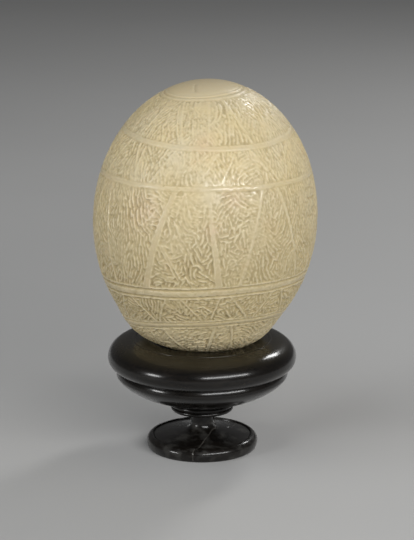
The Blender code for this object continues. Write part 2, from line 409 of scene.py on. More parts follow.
def eggGrid():  # the rows of the grid tilt from one girdle to the next
    rings = [girdleRing(height, right, back) for height, _, right, back, *_ in egg["girdles"]]
    stations = np.array([0.0] + [polar for _, polar in rings] + [math.pi])
    axes = np.array([rings[0][0]] + [axis for axis, _ in rings] + [rings[-1][0]])
    polar = np.linspace(0.0, math.pi, egg["rows"] + 1)[1:-1]
    axis = unitLength(np.stack([np.interp(polar, stations, axes[:, k]) for k in range(3)], axis=1))
    front = unitLength(np.array((0.0, -1.0, 0.0)) + axis * axis[:, 1:2])
    right = np.cross(axis, front)
    around = np.radians(np.arange(egg["columns"]) * 360.0 / egg["columns"])[None, :, None]
    side = front[:, None] * np.cos(around) + right[:, None] * np.sin(around)
    tall = polar[:, None, None]
    return polar, stations, axis[:, None] * np.cos(tall) + side * np.sin(tall)


def smoothRise(values, low, high):  # from 0 to 1 between the two
    share = np.clip((values - low) / (high - low), 0.0, 1.0)
    return share * share * (3.0 - 2.0 * share)


def ontoEgg(directions):  # points on the uncarved egg, and their normals
    matrix = np.array(unitToEgg())
    start, widest, end, swell = egg["bluntEnd"]
    down = -directions[..., 2]
    swollen = swell * smoothRise(down, start, widest) * (1.0 - smoothRise(down, widest, end))
    shaped = directions * np.stack((1.0 + swollen, 1.0 + swollen, np.ones(swollen.shape)), axis=-1)
    return shaped @ matrix.T + np.array(egg["centre"]), unitLength(directions @ np.linalg.inv(matrix))


def columnAt(around):  # the grid's column at some degrees around
    return (np.asarray(around) % 360.0 / 360.0 * egg["columns"]).astype(int)


def spotAt(polar, points, down, around):  # the point at some degrees down from the top and around
    return points[int(np.searchsorted(polar, math.radians(down))), columnAt(around)]


def inSpots(spots, polar, points):  # 1 in the middle of a spot, less away from it
    inside = np.zeros(points.shape[:2])
    for down, around, radius in spots:
        apart = ((points - spotAt(polar, points, down, around)) ** 2).sum(axis=-1)
        inside = np.maximum(inside, np.exp(-apart / radius**2))
    return inside


def strapList(stations, rng):
    # each strap: angle down and degrees around at the top, the same at the bottom, and both widths
    straps = []
    for top, bottom, *widths in egg["broadStraps"]:
        straps.append((stations[3], top, stations[4], bottom, *widths))
    leans, shifts, breadths = egg["zigzagSpread"]
    for zone, (count, first, lean, width) in egg["zigzags"].items():
        for strap in range(count):
            aside = (-lean if strap % 2 else lean) * rng.uniform(*leans)
            middle = first + 360.0 / count * strap + rng.uniform(*shifts)
            wide = width * rng.uniform(*breadths)
            straps.append((stations[zone], middle - aside, stations[zone + 1], middle + aside, wide, wide))
    for top, topAround, bottom, bottomAround, count in egg["ribs"]:
        top, bottom = math.radians(top), math.radians(bottom)
        for rib in range(count):
            shift = math.degrees((rib - (count - 1) / 2) * egg["ribGap"] / (egg["width"] / 2))
            ends = (topAround + shift / math.sin(top), bottomAround + shift / math.sin(bottom))
            straps.append((top, ends[0], bottom, ends[1], egg["ribWidth"], egg["ribWidth"]))
    return straps


def groove(away, width, depth):  # cross-section of a line cut with a round tool
    return depth * np.sin(np.clip(1.0 - np.abs(away) / (width / 2), 0.0, 1.0) * math.pi / 2)


def besideStrap(polar, top, topAround, bottom, bottomAround):
    # the rows that a strap crosses, how far their points are from its middle and how far down it they are
    degrees = np.arange(egg["columns"]) * 360.0 / egg["columns"]
    tall = (bottom - top) * eggRadius
    share = (polar - top) / (bottom - top)
    rows = np.nonzero((share > 0) & (share < 1))[0]
    middle = topAround + (bottomAround - topAround) * share[rows]
    apart = (degrees[None, :] - middle[:, None] + 180.0) % 360.0 - 180.0
    around = np.sin(polar[rows])[:, None] * egg["width"] / 2
    steep = tall / math.hypot(tall, math.radians(bottomAround - topAround) * egg["width"] / 2)
    return rows, np.radians(apart) * around * steep, share[rows, None]


def layBands(polar, stations, points, rng):
    # at every point: distance to the edge of the nearest plain band, strap or lip, and the depth of the
    # lines cut along them
    waver = lumpy(points, egg["waver"])
    nearest = np.full(points.shape[:2], farAway)
    lines = np.zeros(points.shape[:2])
    for (_, width, _, _, line, deep, lip), middle in zip(egg["girdles"], stations[1:-1]):
        away = np.abs((polar - middle)[:, None] * eggRadius + waver) - width / 2
        nearest = np.minimum(nearest, away)
        if lip > 0:
            nearest = np.minimum(nearest, np.abs(away - line - lip / 2) - lip / 2)
        lines = np.maximum(lines, groove(away - line / 2, line, deep))
        lines = np.maximum(lines, egg["bandSink"] * np.clip(-away / egg["bandEdge"], 0.0, 1.0))
    broad, share, wide, deep = egg["strapLines"]
    for *ends, topWidth, bottomWidth in strapList(stations, rng):
        rows, away, down = besideStrap(polar, *ends)
        away = np.abs(away + waver[rows])
        width = topWidth + (bottomWidth - topWidth) * down
        nearest[rows] = np.minimum(nearest[rows], away - width / 2)
        if bottomWidth > broad:
            lines[rows] = np.maximum(lines[rows], groove(away - share * width, wide, deep))
    overGirdle = (stations[1] - polar)[:, None] * eggRadius + waver - egg["girdles"][0][1] / 2
    for over, wide, deep in egg["capLines"]:
        lines = np.maximum(lines, groove(overGirdle - over, wide, deep))
    for top, topAround, bottom, bottomAround, wide, deep in egg["scratches"]:
        start = spotAt(polar, points, top, topAround)
        run = spotAt(polar, points, bottom, bottomAround) - start
        share = np.clip((points - start) @ run / (run @ run), 0.0, 1.0)
        away = np.linalg.norm(points - start - share[..., None] * run, axis=-1)
        lines = np.maximum(lines, groove(away, wide, deep))
    return nearest, lines


def randomSpots(rng, count):  # rows and columns spread evenly over the egg, off the grid's end rows
    heights = np.arccos(rng.uniform(-1.0, 1.0, count))
    rows = np.clip((heights / math.pi * egg["rows"]).astype(int), 1, egg["rows"] - 3)
    return rows, rng.integers(0, egg["columns"], count)


def localFrame(points, rows, columns):  # level and up along the surface
    wide = points.shape[1]
    level = unitLength(points[rows, (columns + 1) % wide] - points[rows, (columns - 1) % wide])
    up = unitLength(points[rows - 1, columns] - points[rows + 1, columns])
    return level, up


def layPatches(polar, stations, rng):  # where the patches are, their styles, and which are sunbursts
    rows, columns = randomSpots(rng, egg["patches"])
    zones = np.clip(np.searchsorted(stations, polar[rows]) - 1, 0, len(egg["girdles"]))
    styles = [egg["patchStyle"][zone] for zone in zones]
    for zone, start, end, more, style in egg["lively"]:
        down = rng.uniform(stations[zone], stations[zone + 1], more)
        rows = np.append(rows, np.searchsorted(polar, down))
        columns = np.append(columns, columnAt(rng.uniform(start, end, more)))
        styles += [style] * more
    patches = len(rows)
    zone, places, first, over = egg["sunbursts"]
    burstColumns = columnAt(first + 360.0 / places * np.arange(0, places, 2))
    burstRow = int(np.searchsorted(polar, stations[zone + 1])) - over
    rows = np.append(rows, np.full(len(burstColumns), burstRow))
    columns = np.append(columns, burstColumns)
    styles += [egg["patchStyle"][zone]] * len(burstColumns)
    return rows, columns, styles, np.arange(len(rows)) >= patches


def ridgeGrain(points, polar, stations, rng):
    # the way that ridges run at every point: each patch fans out or curls from one direction
    rows, columns, styles, burst = layPatches(polar, stations, rng)
    count = len(rows)
    offUpright, spread, fan, curl = np.array(styles).T
    lean = np.abs(rng.normal(offUpright, spread)) * rng.choice((-1, 1), count)
    angle = np.radians(90.0 + lean)
    fan = np.radians(fan) * rng.uniform(*egg["fanSpread"], count) * rng.choice((-1, 1), count)
    curl = np.radians(curl) * rng.uniform(*egg["curlSpread"], count) * rng.choice((-1, 1), count)
    seats = points[rows, columns]
    level, up = localFrame(points, rows, columns)
    strayed = points + np.stack([lumpy(points, setting) for setting in egg["patchEdges"]], axis=-1)
    grain = np.zeros(points.shape[:2])
    for row in range(points.shape[0]):
        near = np.argmin((seats**2).sum(axis=1) - 2.0 * strayed[row] @ seats.T, axis=1)
        offset = points[row] - seats[near]
        right = (offset * level[near]).sum(axis=1)
        high = (offset * up[near]).sum(axis=1)
        along = right * np.cos(angle[near]) + high * np.sin(angle[near])
        across = high * np.cos(angle[near]) - right * np.sin(angle[near])
        patch = angle[near] + fan[near] * across + curl[near] * along
        grain[row] = np.where(burst[near], np.arctan2(high, right), patch)
    return grain + lumpy(points, egg["grainWaver"])


def ridgeLine(row, column, grain, room, cell, longest, least):
    # follows the grain both ways from a place, until the room or the length runs out. Each point is how
    # far right and up it is from that place, the room there, and its row and column. A cell is the
    # height and width of the grid's meshes.
    rows, columns = room.shape
    step, follow, sharpest = egg["step"], egg["follow"], egg["sharpest"]
    halves = []
    for start in (math.pi, 0.0):
        r, c, right, high = float(row), float(column), 0.0, 0.0
        heading = grain[row, column] + start
        half = []
        while len(half) * step < longest / 2:
            i, j = int(r + 0.5), int(c + 0.5) % columns
            turn = (grain[i, j] - heading + math.pi / 2) % math.pi - math.pi / 2
            if abs(turn) > sharpest:
                break
            heading += follow * turn
            right += math.cos(heading) * step
            high += math.sin(heading) * step
            r -= math.sin(heading) * step / cell[0][i, j]
            c += math.cos(heading) * step / cell[1][i, j]
            i, j = int(r + 0.5), int(c + 0.5) % columns
            if not 0 < i < rows - 1 or room[i, j] < least:
                break
            half.append((right, high, room[i, j], r, c))
        halves.append(half)
    return halves[0][::-1] + [(0.0, 0.0, room[row, column], row, column)] + halves[1]


def raiseRidge(line, row, column, points, cell, room, width, ends, drop, drops):
    # takes a ridge out of the room round it, and notes its drop
    line = np.array(line)
    share = np.linspace(-1.0, 1.0, len(line) + 2)[1:-1]
    half = width / 2 * (1.0 - np.abs(share) ** ends)
    reach = width / 2 + egg["ridgeReach"]
    level, up = localFrame(points, row, column)
    tall, wide = cell[0][row, column], cell[1][row, column]
    firstRow = max(row - int((line[:, 1].max() + reach) / tall), 0)
    lastRow = min(row + int((reach - line[:, 1].min()) / tall) + 1, room.shape[0])
    firstColumn = column + int((line[:, 0].min() - reach) / wide)
    lastColumn = column + int((line[:, 0].max() + reach) / wide) + 1
    block = np.ix_(np.arange(firstRow, lastRow), np.arange(firstColumn, lastColumn) % room.shape[1])
    offset = points[block] - points[row, column]
    away = np.hypot((offset @ level)[..., None] - line[:, 0], (offset @ up)[..., None] - line[:, 1])
    away = (away - half).min(axis=-1)
    drops[block] = np.where(away < np.minimum(room[block], egg["dropReach"]), drop, drops[block])
    room[block] = np.minimum(room[block], away)


def raiseRidges(points, grain, room, rng):  # fills the zones with ridges and returns their drops
    barely = 0.01  # how much room a place lacks once no ridge has fitted there
    slack = 0.05  # left between the next ridge's place and the least gap
    rows, columns = room.shape
    tall = np.linalg.norm(points[1:] - points[:-1], axis=-1)
    cell = (np.vstack((tall, tall[-1:])), np.linalg.norm(np.roll(points, -1, axis=1) - points, axis=-1))
    drops = np.zeros(room.shape)
    loose = np.exp(lumpy(points, egg["gapSpread"]))
    made = 0
    for widths, lengths, shortest, usualGap in egg["ridges"]:
        places = np.flatnonzero(room > usualGap * loose + widths[0] / 2)
        rng.shuffle(places)
        for place in places.tolist():
            waiting = [divmod(place, columns)]
            while waiting:
                row, column = waiting.pop()
                gap = usualGap * loose[row, column]
                need = gap + widths[0] / 2
                if room[row, column] < need:
                    continue
                width = rng.uniform(*widths)
                least = gap * egg["touch"] + width / 2
                line = ridgeLine(row, column, grain, room, cell, rng.uniform(*lengths), least)
                if len(line) * egg["step"] < shortest:
                    room[row, column] = need - barely
                    continue
                ends, drop = rng.uniform(*egg["ends"]), rng.uniform(*egg["ridgeDrop"])
                raiseRidge(line, row, column, points, cell, room, width, ends, drop, drops)
                made += 1
                aside = width + gap + slack
                # the next ones lie beside this one, near its ends and its middle
                for k in (len(line) // 5, len(line) // 2, 4 * len(line) // 5):
                    *_, r, c = line[k]
                    heading = grain[int(r + 0.5), int(c + 0.5) % columns] + math.pi / 2
                    for way in (-aside, aside):
                        i = int(r - way * math.sin(heading) / cell[0][row, column] + 0.5)
                        j = int(c + way * math.cos(heading) / cell[1][row, column] + 0.5) % columns
                        if 0 < i < rows - 1:
                            waiting.append((i, j))
    report(f"{made} ridges left standing")
    return drops


def carvingDepth(points, polar, carved, room, lines, drops):
    wear = 1.0 + lumpy(points, egg["wear"])
    calm = 1.0 - egg["plainShare"] * inSpots(egg["plain"], polar, points)
    levels = np.array(egg["ground"])
    ground = np.interp(np.degrees(polar), levels[:, 0], levels[:, 1])[:, None] * wear * calm
    room = np.where(carved, room + lumpy(points, egg["ragged"]), room)
    down = np.clip(room / egg["slope"], 0.0, 1.0)
    tooth = np.where(carved, np.clip(lumpy(points, egg["tooth"]), 0.0, egg["tooth"][0]), 0.0)
    depth = drops * calm + ground * down + tooth
    depth = np.maximum(depth, lines * (1.0 - egg["lineWear"] + egg["lineWear"] * wear))
    return blurGrid(depth, egg["softened"])


def carveEgg(material):
    rng = np.random.default_rng(egg["seed"])
    polar, stations, directions = eggGrid()
    points, normals = ontoEgg(directions)
    room, lines = layBands(polar, stations, points, rng)
    report("bands and straps laid out")
    grain = ridgeGrain(points, polar, stations, rng)
    carved = (polar > stations[1])[:, None]
    bands = np.where(carved, np.clip(-room / egg["bandFade"], 0.0, 1.0), 0.0)
    room = np.where(carved, room, -1.0)
    drops = raiseRidges(points, grain, room, rng)
    depth = carvingDepth(points, polar, carved, room, lines, drops)
    over = blurGrid(depth, egg["proudReach"]) - depth
    proud = np.clip(0.5 + over / egg["proudHeight"], 0.0, 1.0)
    points -= normals * depth[..., None]
    report("egg carved")

    poles = unitLength(np.array((directions[0].mean(axis=0), directions[-1].mean(axis=0))))
    ends, _ = ontoEgg(poles)
    faces = wrapGrid(*points.shape[:2])
    piece = meshPiece("carvedEgg", np.vstack((points.reshape(-1, 3), ends)), faces, material)
    # values that the material reads at every point, and last at both ends
    storeValues(piece.data, "bands", np.append(bands.ravel(), (0.0, 0.0)))
    storeValues(piece.data, "cut", np.append(depth.ravel(), (0.0, 0.0)))
    storeValues(piece.data, "proud", np.append(proud.ravel(), (0.5, 0.5)))
    for name in ("rosy", "skin", "glossy"):
        storeValues(piece.data, name, np.append(inSpots(egg[name], polar, points).ravel(), (0.0, 0.0)))
    report("fine egg mesh made")
    thin = piece.modifiers.new("thinning", "DECIMATE")
    thin.ratio = egg["triangles"] / (2 * points.shape[0] * points.shape[1])
    settle(piece, thin)
    piece.data.shade_smooth()
    report(f"egg thinned to {len(piece.data.polygons)} triangles")
    return piece


# the look of the shell, with painted shade low down and a painted highlight on proud ridges; cut depths are
# in mm, and proud is 0.5 on level ground
shell = {
    "cream": (0.70, 0.60, 0.395),
    "butter": (0.715, 0.585, 0.335),
    "buttery": (38.0, 2.0, 0.35, 0.65),
    "ochre": (0.67, 0.51, 0.30),
    "ochrePatches": (70.0, 3.0, 0.56, 0.72, 0.0, 0.35),
    "rosy": (0.72, 0.53, 0.36),
    "skin": (0.55, 0.455, 0.29),  # of the bare cap
    "bandSkin": 0.28,  # how much of that the plain bands and straps show
    # painted shade: the lower egg is painted darker and yellower, where less light falls on it
    "lowDown": (0.53, 0.432, 0.236),
    "paintedShadeHeights": (178.0, 100.0),  # heights where the painted shade starts and is full
    "paintedLightNearSeat": (68.0, 90.0),  # heights where the painted shade has gone and is full, near the seat, which paints light where the dish shades the egg
    "patina": (0.36, 0.28, 0.135),
    "inCut": (0.12, 0.6),  # depth at which a cut starts to show and shows in full
    "specks": (330.0, 1.0, 0.74, 0.8, 0.0, 0.5),
    # paler colour of proud ridges: partly wear, partly a painted highlight
    "ridges": (0.84, 0.74, 0.51),
    "fineGrain": 420.0,  # lumps a metre, for the next three
    "rosyGrain": (0.3, 0.6, 0.2, 0.6),
    "stained": (0.3, 0.7, 0.22, 0.7),  # how much patina the cuts hold
    "roughGrain": (0.3, 0.7, -0.05, 0.05),
    "ridgeWearAndHighlight": (0.55, 0.9, 0.0, 0.4),  # how much paler proud ridges are: partly wear, partly a painted highlight where ridges catch the light
    "roughness": (0.0, 1.0, 0.44, 0.6),  # from the plain shell to the cuts
    "polish": (0.5, 0.8, 0.0, 0.15),  # how much smoother proud ridges are
    "gloss": (0.0, 1.0, 0.0, 0.44),  # how much smoother the most handled spots are
    "smoothest": 0.1,  # roughness that nothing goes under
    "poreSize": (0.0, 0.25),  # share of a pore's cell
    # bumps: lumps a metre, strength and height
    "pores": (650.0, 0.1, 0.2),
    "unevenness": (420.0, 0.3, 0.3),
    "grit": (900.0, 0.12, 0.2),
    "bumpDetail": 2.0,
    # its shine, and the light that comes back out of it
    "finish": {
        "Specular IOR Level": 0.45,
        "Subsurface Weight": 0.1,
        "Subsurface Radius": (1.0, 0.7, 0.4),
        "Subsurface Scale": 1.2 * mm,
    },
}


def eggshellMaterial():
    tree, shader, material = newMaterial("carvedEggshell")
    place = objectPlace(tree)
    inCut = ramp(tree, attribute(tree, "cut"), *shell["inCut"])
    proud = attribute(tree, "proud")
    fine = noise(tree, place, shell["fineGrain"])

    base = blendColour(tree, patchy(tree, place, shell["buttery"]), shell["cream"], shell["butter"])
    # painted shade on the lower egg, taken off again near the seat as painted light
    low = heightRamp(tree, place, *shell["paintedShadeHeights"])
    low = combine(tree, "MULTIPLY", low, heightRamp(tree, place, *shell["paintedLightNearSeat"]))
    base = blendColour(tree, low, base, shell["lowDown"])
    base = blendColour(tree, patchy(tree, place, shell["ochrePatches"]), base, shell["ochre"])
    rosy = combine(tree, "MULTIPLY", attribute(tree, "rosy"), ramp(tree, fine, *shell["rosyGrain"]))
    base = blendColour(tree, rosy, base, shell["rosy"])
    plain = combine(tree, "MULTIPLY", attribute(tree, "bands"), shell["bandSkin"])
    skin = combine(tree, "MAXIMUM", attribute(tree, "skin"), plain)
    base = blendColour(tree, skin, base, shell["skin"])
    # proud ridges paler: partly wear, partly a painted highlight
    base = blendColour(tree, ramp(tree, proud, *shell["ridgeWearAndHighlight"]), base, shell["ridges"])
    stain = combine(tree, "MULTIPLY", inCut, ramp(tree, fine, *shell["stained"]))
    stain = combine(tree, "MAXIMUM", stain, patchy(tree, place, shell["specks"]))
    give(tree, shader.inputs["Base Color"], blendColour(tree, stain, base, shell["patina"]))

    rough = ramp(tree, inCut, *shell["roughness"])
    rough = combine(tree, "SUBTRACT", rough, ramp(tree, proud, *shell["polish"]))
    rough = combine(tree, "SUBTRACT", rough, ramp(tree, attribute(tree, "glossy"), *shell["gloss"]))
    rough = combine(tree, "ADD", rough, ramp(tree, fine, *shell["roughGrain"]))
    give(tree, shader.inputs["Roughness"], combine(tree, "MAXIMUM", rough, shell["smoothest"]))

    cells, *pitted = shell["pores"]
    pores = node(tree, "TexVoronoi", feature="F1")
    pores.inputs["Scale"].default_value = cells
    give(tree, pores.inputs["Vector"], place)
    normal = bump(tree, ramp(tree, pores.outputs["Distance"], *shell["poreSize"]), *pitted)
    for lumps, *height in (shell["unevenness"], shell["grit"]):
        normal = bump(tree, noise(tree, place, lumps, shell["bumpDetail"]), *height, normal)
    give(tree, shader.inputs["Normal"], normal)
    setSockets(shader, shell["finish"])
    return material


# the dish of the stand: seat, hollow, rolled rim, belly and collar.
# Turns are the ends of a round stretch in degrees: 0 is outwards and 90 up.
dish = {
    "seatRadius": 18.5,
    "seatGap": 0.3,
    "hollowBend": 1.2,
    "hollowEdge": (31.2, 64.7),  # radius and height where the hollow rolls over to the flat inside the ring
    "hollowRound": 0.7,
    "hollowTurn": (150, 84),
    "filletRadii": (37.5, 39.15),  # of the narrow flat ring round the hollow
    "filletHeight": 64.35,
    "filletProud": 0.3,
    "filletRound": 0.25,
    "filletTurns": ((175, 92), (88, 5)),  # of its inner and outer edge
    "filletFoot": 0.1,  # how far outside the ring its foot is
    "rimRadius": 53.4,
    "rimHeight": 53.4,
    "rimRound": 11.5,
    "rimRise": 10.1,
    "rimDrop": 7.6,
    "rimTurns": ((72, 0), (-3, -50)),  # of its upper and lower half, down to the groove
    # the curve up to the rim heads for a point this far outside its round's middle and over the ring's foot
    "rimStart": (-0.5, 0.1),
    "groove": (47.3, 47.3),
    "bellyRadius": 48.7,
    "bellyHeight": 43.6,
    "lipRound": 6.5,
    "lipTurn": (32, 0),
    "bellyBottom": 28.8,
    "bellyHollow": 1.22,  # an ellipse has 1 here and in the next line
    "bellyFall": 1.44,
    "collarRadius": 17.8,
    "collarBottom": 21.9,
    "collarBeads": 3,
    "collarRound": 1.1,
    "beadTurn": (75, -75),
    "collarInset": 2.0,  # of the flat underside
    "socketRadius": 4.5,
    "socketTop": 30.2,
    "segments": 360,
}


def arc(centre, radii, turn, steps):
    turned = np.radians(np.linspace(*turn, steps + 1))
    return list(zip(centre[0] + radii[0] * np.cos(turned), centre[1] + radii[1] * np.sin(turned)))


def curve(start, pull, end, steps):  # a smooth curve that heads for the pull point at both ends
    share = np.linspace(0.0, 1.0, steps + 1)[1:, None]
    start, pull, end = np.array(start), np.array(pull), np.array(end)
    return [tuple(p) for p in (1 - share) ** 2 * start + 2 * share * (1 - share) * pull + share**2 * end]


def straight(start, end, steps):  # all but the first of its points
    return [tuple(place) for place in np.linspace(start, end, steps + 1)[1:]]


def seatHeight(radius):
    drop = egg["length"] / 2 * math.sqrt(1.0 - (2 * radius / egg["width"]) ** 2)
    return egg["centre"][2] - drop - dish["seatGap"]


def dishOutline():  # (radius, height) from the middle of the seat, down the outside, to the socket's top
    seat, soft = dish["seatRadius"], dish["hollowRound"]
    outline = [(radius, seatHeight(radius)) for radius in np.linspace(0.0, seat, 21)]
    edge = dish["hollowEdge"]
    roll = arc((edge[0], edge[1] - soft), (soft, soft), dish["hollowTurn"], steps=6)
    width, rise = roll[0][0] - seat, roll[0][1] - seatHeight(seat)
    for share in np.linspace(0.0, 1.0, 21)[1:-1]:
        outline.append((seat + width * share, seatHeight(seat) + rise * share ** dish["hollowBend"]))
    outline += roll

    inner, outer = dish["filletRadii"]
    top, soft, aside = dish["filletHeight"], dish["filletRound"], dish["filletFoot"]
    level = top - dish["filletProud"]
    outline += straight(roll[-1], (inner - aside, level), steps=8)
    innerTurn, outerTurn = dish["filletTurns"]
    outline += arc((inner + soft, top - soft), (soft, soft), innerTurn, steps=4)
    outline += arc((outer - soft, top - soft), (soft, soft), outerTurn, steps=4)

    rim = (dish["rimRadius"] - dish["rimRound"], dish["rimHeight"])
    upperTurn, lowerTurn = dish["rimTurns"]
    roll = arc(rim, (dish["rimRound"], dish["rimRise"]), upperTurn, steps=36)
    start = (outer + aside, level)
    pull = (rim[0] + dish["rimStart"][0], level + dish["rimStart"][1])
    outline.append(start)
    outline += curve(start, pull, roll[0], steps=8)[:-1] + roll
    outline += arc(rim, (dish["rimRound"], dish["rimDrop"]), lowerTurn, steps=20)
    outline.append(dish["groove"])

    lip = dish["lipRound"]
    outline += arc((dish["bellyRadius"] - lip, dish["bellyHeight"]), (lip, lip), dish["lipTurn"], steps=12)
    reach = dish["bellyRadius"] - dish["collarRadius"]
    fall = dish["bellyBottom"] - dish["bellyHeight"]
    for turned in np.linspace(0.0, math.pi / 2, 49)[1:]:
        across = max(math.cos(turned), 0.0) ** dish["bellyHollow"]
        down = math.sin(turned) ** dish["bellyFall"]
        outline.append((dish["collarRadius"] + reach * across, dish["bellyHeight"] + fall * down))

    height = (dish["bellyBottom"] - dish["collarBottom"]) / dish["collarBeads"]
    for bead in range(dish["collarBeads"]):
        middle = dish["bellyBottom"] - height * (bead + 0.5)
        centre = (dish["collarRadius"] - dish["collarRound"], middle)
        outline += arc(centre, (dish["collarRound"], height / 2), dish["beadTurn"], steps=10)
    socket, bottom = dish["socketRadius"], dish["collarBottom"]
    outline += [(dish["collarRadius"] - dish["collarInset"], bottom), (socket, bottom)]
    return outline + [(socket, dish["socketTop"]), (0.0, dish["socketTop"])]


def turnedPiece(name, outline, segments, material, shape=None):  # outline: from the axis round to the axis
    sharpEdge = 38  # degrees
    outline = np.array(outline)
    inner = outline[1:-1]
    around = np.radians(np.arange(segments) * 360.0 / segments)
    heights = np.repeat(inner[:, 1:], segments, axis=1)
    points = np.stack((inner[:, :1] * np.sin(around), inner[:, :1] * -np.cos(around), heights), axis=-1)
    cracked = np.zeros(points.shape[:2])
    if shape is not None:
        points, cracked = shape(points)
    ends = [(0.0, 0.0, outline[0][1]), (0.0, 0.0, outline[-1][1])]
    faces = wrapGrid(*points.shape[:2])
    piece = meshPiece(name, np.vstack((points.reshape(-1, 3), ends)), faces, material)
    storeValues(piece.data, "crack", np.append(cracked.ravel(), (0.0, 0.0)))
    piece.data.set_sharp_from_angle(angle=math.radians(sharpEdge))
    return piece


# the foot of the stand, with its cracks
foot = {
    "tenonRadius": 4.2,
    "tenonTop": 29.6,
    "shoulder": 21.6,
    "stemRadius": 6.1,
    "stemDrops": (0.4, 2.0, 4.0),
    "flare": 4.4,
    "flareTop": 15.0,
    "flareBottom": 10.0,
    "flareTurn": (180, 262),
    # the line turned between the top and the rounded edge, and how much the edge starts higher
    "step": (27.2, 6.85),
    "stepWidth": 0.9,
    "stepDepth": 0.7,
    "stepTurn": (200, 340),
    "stepRise": 0.45,
    "stepSlant": 0.05,
    "radius": 31.6,
    "edgeTop": 7.55,
    "edgeMiddle": 3.6,
    "edgeRound": 3.9,
    "edgeTurn": (78, 0),
    "toe": 1.4,
    "toeTurn": (-8, -90),
    "segments": 720,
    # each crack runs through points given by radius and degrees around
    "cracks": [
        [
            (19.5, 157.0),
            (12.5, 148.0),
            (8.8, 118.0),
            (8.0, 75.0),
            (8.5, 37.0),
            (13.0, 15.0),
            (16.2, 6.0),
            (19.0, 2.2),
            (24.8, -3.1),
            (28.0, -7.5),
            (30.8, -9.4),
            (31.9, -9.3),
        ],
        [(7.0, 100.0), (10.8, 107.0), (15.9, 108.5), (19.3, 114.3), (26.3, 131.8), (31.9, 129.0)],
        [(6.5, 150.0), (12.3, 143.0), (20.0, 160.0), (31.9, 166.0)],
    ],
    "crackWidth": 0.45,
    "crackDepth": 0.25,
    "crackWander": (0.15, 5.0, 9),
    "crackTop": 5.0,  # under the shoulder
    "crackInside": 0.5,  # how far inside the stem's radius they may reach
    "crackBottom": 0.3,  # over the underside
    "crackTurns": (29.5, 2.0),  # radius where they start to cut inwards, and over what length
}


def footOutline():  # (radius, height) from the tenon's top, down the outside, to the middle of the underside
    tenon, stem = foot["tenonRadius"], foot["stemRadius"]
    outline = [(0.0, foot["tenonTop"]), (tenon, foot["tenonTop"]), (tenon, foot["shoulder"])]
    outline += [(stem, foot["shoulder"])]
    outline += [(stem, foot["shoulder"] - drop) for drop in foot["stemDrops"]]
    flare = (foot["flare"], foot["flareTop"] - foot["flareBottom"])
    outline += arc((stem + foot["flare"], foot["flareTop"]), flare, foot["flareTurn"], steps=18)
    outline += straight(outline[-1], foot["step"], steps=40)
    inner, top = foot["step"]
    half = foot["stepWidth"] / 2
    outline += arc((inner + half, top), (half, foot["stepDepth"]), foot["stepTurn"], steps=8)
    outline.append((inner + foot["stepWidth"] + foot["stepSlant"], top + foot["stepRise"]))
    middle = (foot["radius"] - foot["edgeRound"], foot["edgeMiddle"])
    edge = (foot["edgeRound"], foot["edgeTop"] - foot["edgeMiddle"])
    outline += arc(middle, edge, foot["edgeTurn"], steps=18)
    toe = (foot["radius"] - foot["toe"], foot["edgeMiddle"])
    outline += arc(toe, (foot["toe"], foot["edgeMiddle"]), foot["toeTurn"], steps=12)
    return outline + [(0.0, 0.0)]


def pathDistance(points, path):  # seen from above
    radii, angles = np.array(path).T
    turned = np.stack((radii * np.sin(np.radians(angles)), -radii * np.cos(np.radians(angles))), axis=-1)
    nearest = np.full(points.shape[:2], farAway)
    for start, end in zip(turned[:-1], turned[1:]):
        run = end - start
        share = np.clip(((points[..., :2] - start) @ run) / (run @ run), 0.0, 1.0)
        away = np.linalg.norm(points[..., :2] - start - share[..., None] * run, axis=-1)
        nearest = np.minimum(nearest, away)
    return nearest


def crackFoot(points):  # cuts the cracks, and returns where they are too
    radius = np.linalg.norm(points[..., :2], axis=-1)
    height = points[..., 2]
    mayCrack = (height < foot["shoulder"] - foot["crackTop"]) & (height > foot["crackBottom"])
    mayCrack &= radius > foot["stemRadius"] - foot["crackInside"]
    wander = lumpy(points, foot["crackWander"])
    cracked = np.zeros(radius.shape)
    for path in foot["cracks"]:
        away = np.abs(pathDistance(points, path) + wander)
        cracked = np.maximum(cracked, np.clip(1.0 - away / foot["crackWidth"], 0.0, 1.0) * mayCrack)
    outward = points * (1.0, 1.0, 0.0) / np.maximum(radius, 1.0)[..., None]
    start, length = foot["crackTurns"]
    edge = np.clip((radius - start) / length, 0.0, 1.0)[..., None]
    sink = outward * edge + np.array((0.0, 0.0, 1.0)) * (1.0 - edge)
    return points - sink * (cracked * foot["crackDepth"])[..., None], cracked


# the look of the stand: black wood with a little wax, dusty at the foot and in the cracks, with a painted
# brown reflection of the egg on the rim's top
blackWood = {
    "dark": (0.004, 0.0035, 0.003),
    "streak": (0.010, 0.0078, 0.006),
    "grain": (60.0, 900.0, 900.0),  # lumps a metre along it and both ways across it
    "streaky": (0.35, 0.7),
    "paintedEggReflection": (0.019, 0.0155, 0.009),  # brownish: a painted reflection of the cream egg on the rim's top
    "paintedEggReflectionFrom": (58.5, 62.5),  # heights where it starts and is full
    "broad": 60.0,  # lumps a metre of the wax
    "dust": (0.05, 0.048, 0.043),
    "dustFrom": (22.0, 12.0),  # heights where the part starts that is handled least, and where it is full
    "dustPatches": (150.0, 4.0, 0.48, 0.68, 0.0, 0.7),
    "crackDust": (0.12, 0.11, 0.095),
    "crackFill": (0.2, 0.9, 0.0, 0.7),
    "crackPatches": (0.35, 0.6, 0.4, 1.0),
    # roughness of the waxed wood, and how much the grain, cracks, dust and the foot add to it
    "roughness": (0.3, 0.7, 0.24, 0.32),
    "grainRough": (0.4, 0.7, 0.0, 0.04),
    "crackRough": (0.0, 1.0, 0.0, 0.4),
    "dustRough": 0.6,
    "footRough": 0.05,
    # bumps: strength and height, with lumps a metre and detail before them
    "pores": (0.03, 0.1),
    "unevenness": (200.0, 2.0, 0.03, 0.2),
    # its shine, and the wax
    "finish": {
        "Specular IOR Level": 0.16,
        "Coat Weight": 1.0,
        "Coat Roughness": 0.15,
        "Coat IOR": 1.34,
    },
}


